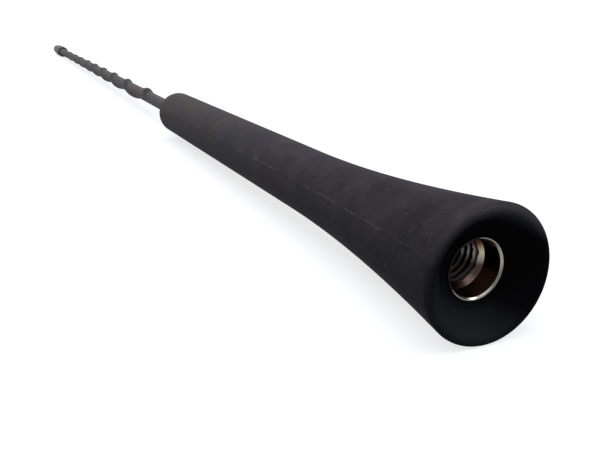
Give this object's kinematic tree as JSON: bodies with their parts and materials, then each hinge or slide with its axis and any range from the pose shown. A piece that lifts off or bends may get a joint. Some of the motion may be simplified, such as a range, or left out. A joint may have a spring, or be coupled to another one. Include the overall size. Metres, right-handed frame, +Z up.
{
  "type": "car mast aerial",
  "caption": "Car mast aerial with a trumpet-flared rubber grip, an internally threaded metal socket in its mouth and a thin mast with a helical ridge and a rounded cap at the tip.",
  "frame": {"origin": "on the table under the middle of the aerial's length, where it lies at rest on the grip's lip and the tip cap", "axes": "+X along the table from the grip's mouth to the tip, +Z up, +Y completes the right-handed set"},
  "size_m": [0.4, 0.0156, 0.0157],
  "materials": {
    "grip_rubber": "fine moulded, matte",
    "nickel_plated_brass": "turned and nickel plated",
    "spring_steel": "drawn",
    "sleeve_plastic": "satin",
    "cap_plastic": "satin"
  },
  "bodies": {
    "root": {"grip": "grip_rubber", "threaded_ferrule": "nickel_plated_brass", "mast_rod": "spring_steel", "mast_sleeve": "sleeve_plastic", "tip_cap": "cap_plastic"}
  },
  "joints": []
}
